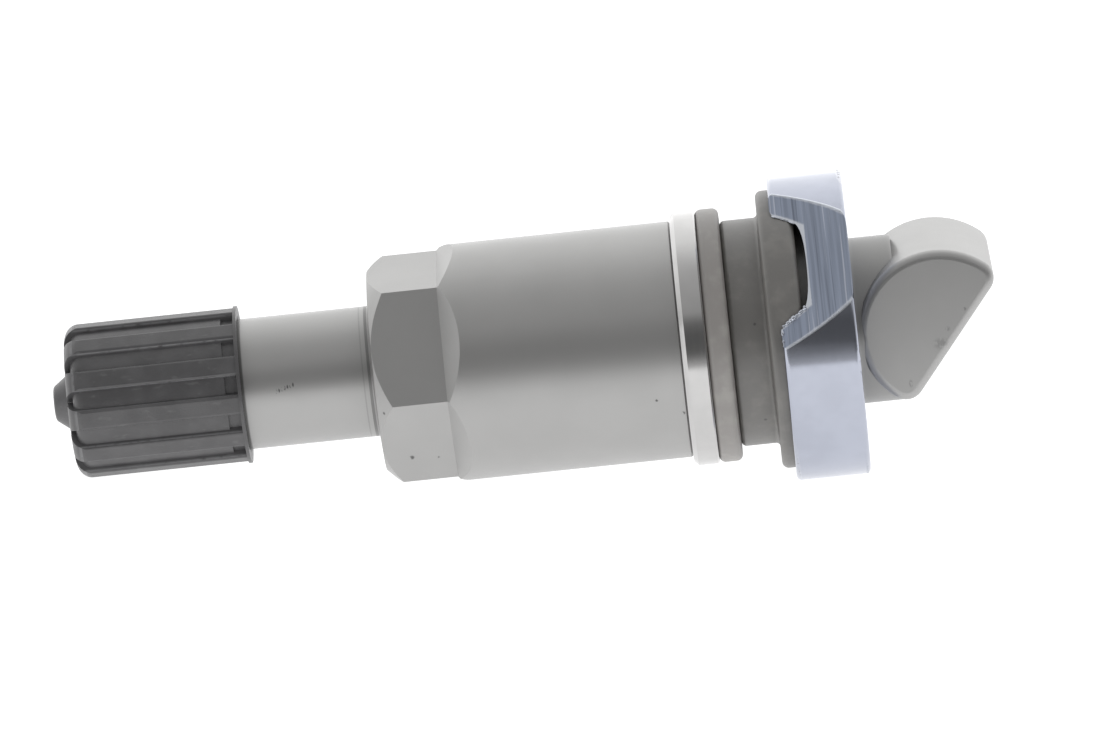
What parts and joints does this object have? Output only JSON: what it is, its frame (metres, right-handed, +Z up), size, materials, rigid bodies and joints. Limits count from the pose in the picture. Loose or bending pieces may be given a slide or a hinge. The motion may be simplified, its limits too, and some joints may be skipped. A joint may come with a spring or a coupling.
{
  "type": "tyre pressure sensor valve stem",
  "caption": "Clamp-in metal tyre valve that carries a wheel pressure sensor, with sleeve nut, rubber seals, collar, slanted foot, valve core and dust cap.",
  "frame": {"origin": "middle of the valve's box, at the level of the table that the valve lies on", "axes": "+Z up, +X towards the foot; the valve's own axis lies in the XZ plane and leans 6.09 degrees, foot end up, because the collar is wider than the sleeve"},
  "size_m": [0.0561, 0.0182, 0.0186],
  "materials": {
    "stem_aluminium": "satin anodised",
    "nut_aluminium": "satin anodised",
    "collar_aluminium": "bright, turned and milled",
    "washer_metal": "bright, turned",
    "grommet_rubber": "matt taupe",
    "ring_rubber": "matt light taupe",
    "cap_plastic": "fine grain, dark grey",
    "seal_rubber": "matt black",
    "core_brass": "bright, turned",
    "core_gasket_plastic": "smooth red",
    "spring_steel": "drawn wire"
  },
  "bodies": {
    "stem": {"valve_stem": "stem_aluminium", "valve_collar": "collar_aluminium", "rim_grommet": "grommet_rubber", "core_plug": "core_brass", "core_barrel": "core_brass", "core_gasket": "core_gasket_plastic", "core_spring": "spring_steel"},
    "washer_set": {"clamp_washer": "washer_metal", "outer_seal_ring": "ring_rubber"},
    "nut": {"sleeve_nut": "nut_aluminium"},
    "cap_carrier": {"cap_seal": "seal_rubber"},
    "cap": {"dust_cap": "cap_plastic"},
    "core_plunger": {"core_pin": "core_brass", "core_cup": "core_brass", "cup_seal": "seal_rubber"}
  },
  "joints": [
    {"name": "nut_travel", "type": "slide", "parent": "stem", "child": "washer_set", "axis": [-0.9944, 0, -0.106], "range_m": [0, 0.0075]},
    {"name": "nut_turn", "type": "hinge", "parent": "washer_set", "child": "nut", "pos_m": [0.0148, 0, 0.009], "axis": [-0.9944, 0, -0.106], "range_deg": [0, 2701]},
    {"name": "cap_travel", "type": "slide", "parent": "stem", "child": "cap_carrier", "axis": [-0.9944, 0, -0.106], "range_m": [0, 0.00873]},
    {"name": "cap_turn", "type": "hinge", "parent": "cap_carrier", "child": "cap", "pos_m": [0.0148, 0, 0.009], "axis": [-0.9944, 0, -0.106], "range_deg": [0, 3961]},
    {"name": "core_press", "type": "slide", "parent": "stem", "child": "core_plunger", "axis": [0.9944, 0, 0.106], "range_m": [0, 0.0012], "stiffness_N_per_m": 600, "deforming": ["core_spring"]}
  ],
  "couplings": [
    {"joint": "nut_turn", "follows": "nut_travel", "rad_per_m": 6283.2},
    {"joint": "cap_turn", "follows": "cap_travel", "rad_per_m": 7915.8}
  ]
}
